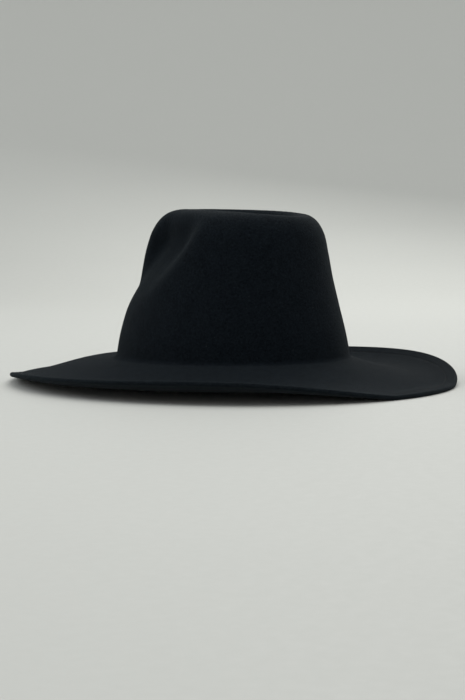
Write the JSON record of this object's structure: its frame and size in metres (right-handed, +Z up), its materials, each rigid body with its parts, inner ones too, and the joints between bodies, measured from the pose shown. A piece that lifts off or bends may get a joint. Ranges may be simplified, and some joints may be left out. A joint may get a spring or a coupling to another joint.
{
  "type": "fedora",
  "caption": "Black felt fedora with a pinched, creased crown, a wide brim curled up at the sides and a sweatband inside.",
  "frame": {"origin": "on the surface that the brim rests on, below the middle of the brim", "axes": "+Z up through the crown, -Y towards the hat's front, +X towards the wearer's left"},
  "size_m": [0.3598, 0.376, 0.1433],
  "materials": {
    "felt": "matt, short-napped black wool felt",
    "sweatband": "soft satin black leather"
  },
  "bodies": {
    "root": {"felt_body": "felt", "sweatband": "sweatband"}
  },
  "joints": []
}
